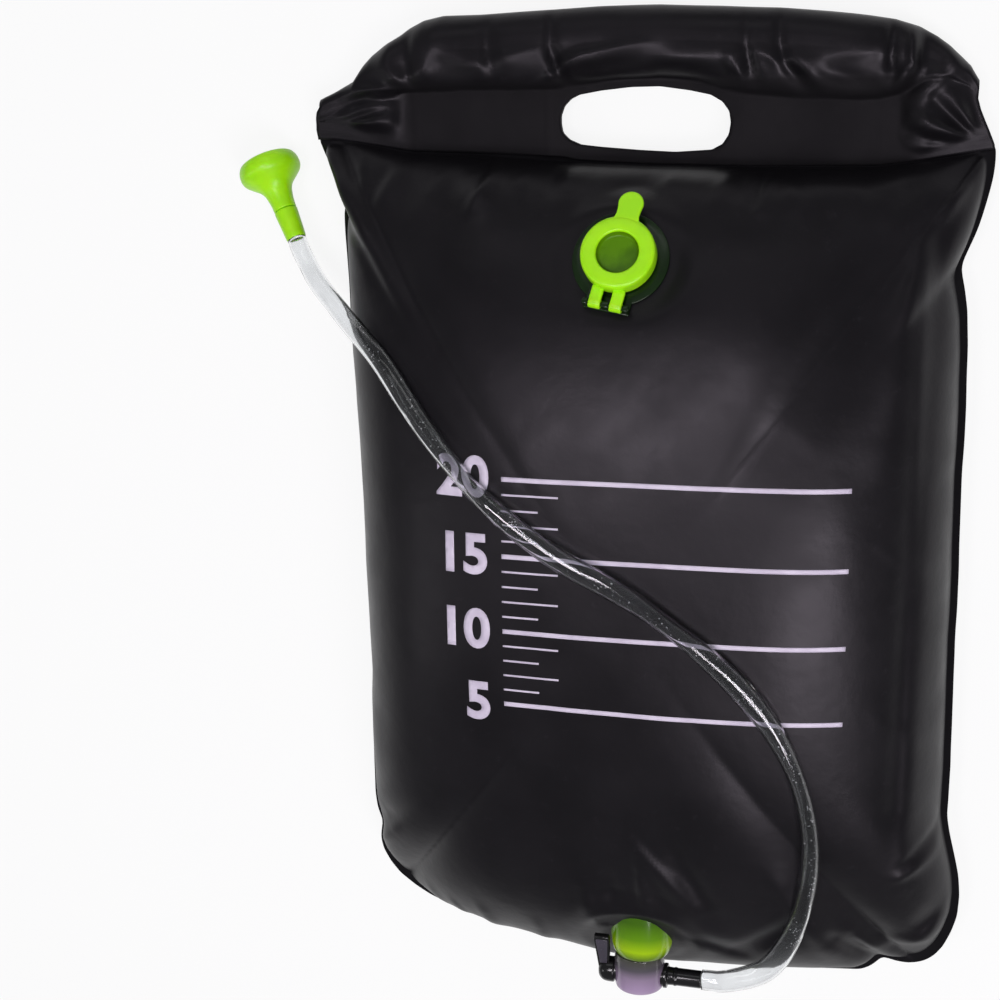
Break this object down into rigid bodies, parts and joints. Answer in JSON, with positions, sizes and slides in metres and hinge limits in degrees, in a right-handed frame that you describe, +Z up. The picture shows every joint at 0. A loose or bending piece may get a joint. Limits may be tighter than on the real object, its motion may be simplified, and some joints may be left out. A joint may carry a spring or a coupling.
{
  "type": "camp shower bag",
  "caption": "Filled camp shower bag lying on its back, with a welded hand slot, a hinged filler cap, a lever tap on an oblique spout, and a clear hose to a slide-open spray head.",
  "frame": {"origin": "on the flat patch that the filled bag rests on, halfway along the bag with its handle", "axes": "+Y along the bag towards its handle, +X across the bag, +Z up through the filled bag"},
  "size_m": [0.4618, 0.6053, 0.1269],
  "materials": {
    "bag_film": "satin black vinyl film, welded",
    "green_plastic": "moulded glossy lime green",
    "green_translucent": "soft translucent green moulding",
    "smoky_plastic": "smoky clear moulding",
    "black_plastic": "moulded glossy black",
    "seal_rubber": "black round-wire ring",
    "clear_hose": "soft clear tube"
  },
  "bodies": {
    "bag": {"bag_front_panel": "bag_film", "bag_back_panel": "bag_film", "handle_sleeve": "bag_film", "filler_neck": "green_translucent", "outlet_spout": "green_translucent", "valve_housing": "smoky_plastic", "spout_seal": "seal_rubber", "hose_spigot": "black_plastic", "spigot_seal": "seal_rubber", "shower_hose": "clear_hose", "head_collar": "green_plastic", "valve_stem": "black_plastic", "stem_seal": "seal_rubber"},
    "cap": {"filler_cap": "green_plastic"},
    "key": {"tap_key": "black_plastic", "key_seal": "seal_rubber"},
    "spray_head": {"head_shell": "green_plastic", "rose_plate": "green_plastic"}
  },
  "joints": [
    {"name": "cap_hinge", "type": "hinge", "parent": "bag", "child": "cap", "pos_m": [-0.01163, 0.13608, 0.09735], "axis": [0.9816, -0.1729, 0.0806], "range_deg": [0, 130]},
    {"name": "tap_turn", "type": "hinge", "parent": "bag", "child": "key", "pos_m": [0.006, -0.2943, 0.0682], "axis": [1, 0, 0], "range_deg": [0, 90]},
    {"name": "head_slide", "type": "slide", "parent": "bag", "child": "spray_head", "axis": [-0.4271, 0.8758, -0.225], "range_m": [0, 0.007]}
  ]
}
